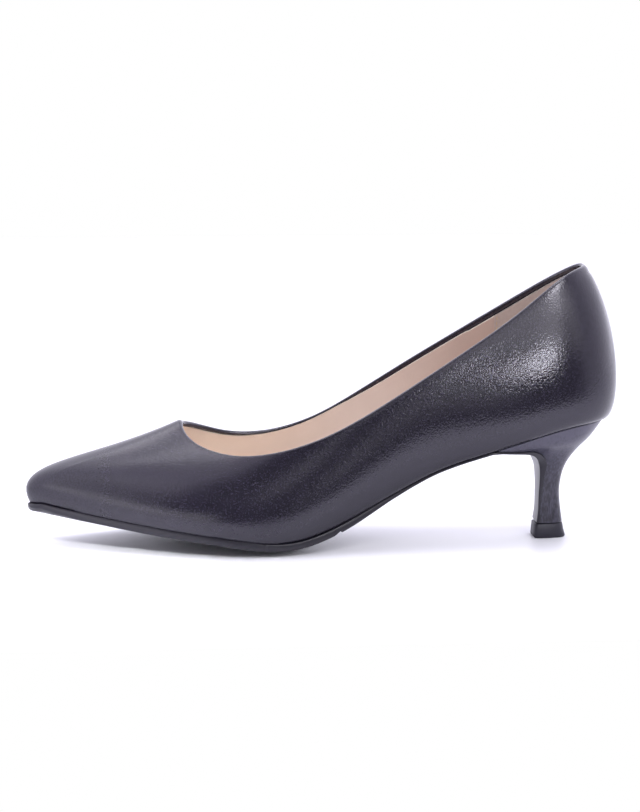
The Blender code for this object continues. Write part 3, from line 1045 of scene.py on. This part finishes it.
def forepart_loop(angle):
    """The sole's cross-section under the foot, at a station of the feather."""
    s = feather_s(angle)
    edge_out = WAIST_EDGE + (SOLE_EDGE - WAIST_EDGE) * ease(s, *WAIST_END)
    ridge = MOULD_RIDGE * bump(s, MOULD_LINE, MOULD_RIDGE)
    edge_out += ridge + TIP_EDGE * ease(s, TIP_START, TOE_TIP)
    s_outer, y_outer = inset_plan(angle, -edge_out)
    s_inner, y_inner = inset_plan(TURN - angle, -edge_out)
    ss = s_outer + (s_inner - s_outer) * ACROSS_SHARES
    ys = y_outer + (y_inner - y_outer) * ACROSS_SHARES
    edge = np.interp(s, column(SOLE_ROWS, 0), column(SOLE_ROWS, 1))
    middle = np.interp(s, column(SOLE_ROWS, 0), column(SOLE_ROWS, 2))
    into_tip = min(1, max(0, (s - TOE_TIP + TIP_ROUND) / TIP_ROUND))
    rounding = np.sqrt(1 - into_tip**2 * TIP_THINNED)
    width = np.hypot(s_inner - s_outer, y_inner - y_outer)
    from_edge = np.minimum(ACROSS_SHARES, 1 - ACROSS_SHARES) * width
    welt = TOE_WELT * ease(s, *WELT_START) * (1 - ease(from_edge, WELT_FLAT, WELT_WIDE))
    welt -= TIP_SUNK * edge * (1 - rounding)
    top = np.stack([ss, ys, underside(ss, ys) - SOLE_GAP + welt], axis=-1)
    middle_s = s - SWING * forepart(s) * ys.mean()
    slope = float(bottom_line(middle_s + 0.5) - bottom_line(middle_s - 0.5))
    size = np.hypot(1, slope)
    upper_rim = np.interp(s, *UPPER_RIM)
    return sole_loop(top, edge * rounding, middle * rounding, slope / size, -1 / size, upper_rim)


def flap_loop(level, normal_s, normal_z):
    """The sole's cross-section in front of the heel, at one of the heel's levels."""
    outer, inner = heel_loops[level][-1], heel_loops[level][0]
    lip = FLAP_LIP * ease(level, *FLAP_LEVELS) * (inner - outer) / np.linalg.norm(inner - outer)
    top = outer - lip + (inner - outer + 2 * lip) * ACROSS_SHARES[:, None]
    top[:, 0] += FLAP_GAP * normal_s
    top[:, 2] += FLAP_GAP * normal_z
    thick = flap_thick[level]
    return sole_loop(top, thick * FLAP_EDGE, thick, normal_s, normal_z, FLAP_RIM)


def make_rubber_sole():
    """One moulding from the toe to the heel's foot, close-stepped where its outline turns."""
    stops = np.concatenate([
        np.linspace(58, 118.6, 60),
        [119.2, 119.4, 119.9, 120.6],
        np.linspace(121.5, 148.8, 28),
        MOULD_LINE + np.array([-0.6, -0.25, 0.0, 0.25, 0.6]),
        np.linspace(150.8, 234, 84),
    ])
    tip = np.linspace(0.9, 0.9985, 26) * np.pi
    angles = np.concatenate([ring_angle(FLAP_START), ring_angle(stops), tip], axis=None)
    loops = [forepart_loop(angle) for angle in np.sort(angles)[::-1]]
    run_s = np.gradient(front_s)
    run_z = np.gradient(front_z)
    run = np.hypot(run_s, run_z)
    for level in range(FLAP_LEVELS[0], HEEL_LEVELS):
        loops.append(flap_loop(level, -run_z[level] / run[level], run_s[level] / run[level]))
    make_loft("rubber_sole", loops, moulded_rubber(), "outsole_rubber", "outsole")


make_upper_leather()
make_lining()
make_lining_edge()
make_heel_grip()
make_grip_stitches()
make_sock()
make_heel_cover()
make_heel_tip()
make_rubber_sole()

# Stage: a table top that ends a little in front of the shoe.
TABLE_SIDE = 1.2
TABLE_FRONT = -0.185
TABLE_BACK = 1.6

floor_mesh = bpy.data.meshes.new("table_top")
floor_mesh.from_pydata(
    [
        (-TABLE_SIDE, TABLE_FRONT, 0),
        (TABLE_SIDE, TABLE_FRONT, 0),
        (TABLE_SIDE, TABLE_BACK, 0),
        (-TABLE_SIDE, TABLE_BACK, 0),
    ],
    [],
    [(0, 1, 2, 3)],
)
floor_mesh.materials.append(opal_acrylic())
floor = bpy.data.objects.new("table_top", floor_mesh)
bpy.context.scene.collection.objects.link(floor)

# Studio: white walls with a dark gap where the camera stands. Light of the walls by the direction
# round the shoe, in degrees from the camera's side towards the heel.
WALL_LIGHT = (
    (-180, 1.6),
    (-120, 1.6),
    (-70, 1.65),
    (-56, 1.5),
    (-48, 0.24),
    (46, 0.26),
    (56, 0.9),
    (72, 1.0),
    (95, 1.55),
    (130, 2.3),
    (180, 1.7),
)
BRIGHTEST = 2.3
CEILING_LIGHT = 1.2
CEILING_EDGE = {"From Min": 0.84, "From Max": 0.97}


def studio():
    """A world whose walls light the shoe, and whose backdrop is plain white to the camera."""
    world = bpy.data.worlds.new("studio")
    world.use_nodes = True
    tree = world.node_tree
    tree.nodes.clear()
    direction = add_node(tree, "ShaderNodeTexCoord")
    axes = add_node(tree, "ShaderNodeSeparateXYZ", None, {0: (direction, "Generated")})
    forward = add_node(tree, "ShaderNodeMath", {1: -1.0}, {0: (axes, "Y")}, operation="MULTIPLY")
    azimuth = add_node(
        tree, "ShaderNodeMath", None, {0: (axes, "X"), 1: (forward, 0)}, operation="ARCTAN2"
    )
    around = add_node(
        tree, "ShaderNodeMapRange",
        {"From Min": -math.pi, "From Max": math.pi}, {"Value": (azimuth, 0)},
    )
    walls_round = add_node(tree, "ShaderNodeValToRGB", None, {"Fac": (around, "Result")})
    stops = walls_round.color_ramp.elements
    while len(stops) < len(WALL_LIGHT):
        stops.new(1.0)
    for stop, (degrees, light) in zip(stops, WALL_LIGHT):
        stop.position = (degrees + 180) / 360
        stop.color = (light / BRIGHTEST,) * 3 + (1.0,)
    overhead = add_node(
        tree, "ShaderNodeMapRange", CEILING_EDGE, {"Value": (axes, "Z")},
        interpolation_type="SMOOTHSTEP",
    )
    wall_light = add_node(
        tree, "ShaderNodeMix", {"B": CEILING_LIGHT / BRIGHTEST},
        {"Factor": (overhead, "Result"), "A": (walls_round, "Color")},
    )
    strength = add_node(
        tree, "ShaderNodeMath", {1: BRIGHTEST}, {0: (wall_light, "Result")}, operation="MULTIPLY"
    )
    walls_lit = add_node(
        tree, "ShaderNodeBackground", {"Color": linear("#f3f1ff")}, {"Strength": (strength, 0)}
    )
    backdrop = add_node(tree, "ShaderNodeBackground", {"Color": linear("#ffffff")})
    ray = add_node(tree, "ShaderNodeLightPath")
    seen = add_node(
        tree, "ShaderNodeMixShader", None,
        {0: (ray, "Is Camera Ray"), 1: (walls_lit, "Background"), 2: (backdrop, "Background")},
    )
    add_node(tree, "ShaderNodeOutputWorld", None, {"Surface": (seen, 0)})
    return world


bpy.context.scene.world = studio()

# Rectangular lamps, in metres and degrees. Panels that overlap, seen from the shoe, stand 3 mm
# apart, because a mirrored ray counts only one of two that lie in the same plane.
# name, place, target, width, height, sideways tilt, brightness of its face (1 is picture white)
SOFTBOXES = (
    ("overhead", (0.02, 0.03, 1.15), (0.02, 0.03, 0), 0.34, 0.34, 0, 10.5),
    ("vamp_spot", (-0.210, 0.087, 0.612), (-0.057, -0.016, 0.04), 0.12, 0.12, 0, 3.2),
    ("back_spot", (-0.24, 0.36, 0.56), (-0.07, 0, 0.05), 0.14, 0.14, 0, 2.2),
    ("left_card", (-0.2345, -0.1255, 0.18), (-0.07, -0.02, 0.18), 0.08, 0.34, 0, 0.9),
    ("front_card", (-0.30, -0.30, 0.03), (-0.08, -0.02, 0.03), 0.30, 0.13, 0, 1.3),
    ("soft_side", (-0.008, -0.27, 0.22), (-0.008, 0, 0.22), 0.015, 0.18, 0, 2.2),
    ("key_panel", (0.142, -0.270, 0.285), (0.142, 0, 0.285), 0.24, 0.28, 0, 1.45),
    ("key_middle", (0.170, -0.267, 0.205), (0.170, 0, 0.205), 0.10, 0.13, 0, 1.0),
    ("key_top", (0.250, -0.264, 0.435), (0.250, 0, 0.435), 0.085, 0.26, -32, 11.0),
    ("key_lower", (0.200, -0.261, 0.290), (0.200, 0, 0.290), 0.07, 0.055, 0, 5.0),
    ("key_side", (0.270, -0.258, 0.300), (0.270, 0, 0.300), 0.09, 0.12, 0, 1.2),
    ("right_panel", (0.347, -0.270, 0.285), (0.347, 0, 0.285), 0.17, 0.27, 0, 0.9),
    ("right_top", (0.340, -0.267, 0.365), (0.340, 0, 0.365), 0.20, 0.20, 0, 0.5),
    ("low_strip", (0.152, -0.267, 0.119), (0.152, 0, 0.119), 0.09, 0.016, 15, 34.0),
    ("low_fill", (0.088, -0.270, 0.088), (0.088, 0, 0.088), 0.014, 0.10, 0, 2.8),
)
TOE_FILL = ("toe_fill", (-0.11, -0.38, 0.32), (-0.086, -0.016, 0), 0.06, 0.06, 0, 2.6)
TOE_FILL_BEAM = math.radians(20)


def softbox(name, place, target, width, height, tilt, light):
    """A rectangular lamp at a place, turned to a target and tilted sideways."""
    lamp = bpy.data.lights.new(name, "AREA")
    lamp.shape = "RECTANGLE"
    lamp.size = width
    lamp.size_y = height
    lamp.energy = light * math.pi * width * height
    holder = bpy.data.objects.new(name, lamp)
    holder.location = place
    aim = (Vector(target) - Vector(place)).to_track_quat("-Z", "Y")
    holder.rotation_mode = "QUATERNION"
    holder.rotation_quaternion = aim @ Quaternion((0, 0, 1), math.radians(tilt))
    bpy.context.scene.collection.objects.link(holder)
    return holder


for lamp_row in SOFTBOXES:
    softbox(*lamp_row)

# A narrow polarised lamp brightens the table in front of the toe, and the leather doesn't mirror
# it. Its beam gathers its light, so that it is far brighter along its axis.
toe_fill = softbox(*TOE_FILL)
toe_fill.data.spread = TOE_FILL_BEAM
toe_fill.visible_glossy = False

# Camera: level with the shoe's side, a little above it and turned slightly to the toe.
AIM = Vector((-0.0010, 0.0002, 0.0560))
AZIMUTH = math.radians(-5.0)
ELEVATION = math.radians(8.3)
DISTANCE = 1.05
LENS = 112.65

to_camera = Vector(
    (
        math.sin(AZIMUTH) * math.cos(ELEVATION),
        -math.cos(AZIMUTH) * math.cos(ELEVATION),
        math.sin(ELEVATION),
    )
)
camera_data = bpy.data.cameras.new("camera")
camera_data.lens = LENS
camera = bpy.data.objects.new("camera", camera_data)
camera.location = AIM + to_camera * DISTANCE
camera.rotation_mode = "QUATERNION"
camera.rotation_quaternion = (-to_camera).to_track_quat("-Z", "Y")
bpy.context.scene.collection.objects.link(camera)
bpy.context.scene.camera = camera
bpy.context.scene.view_settings.view_transform = "Standard"
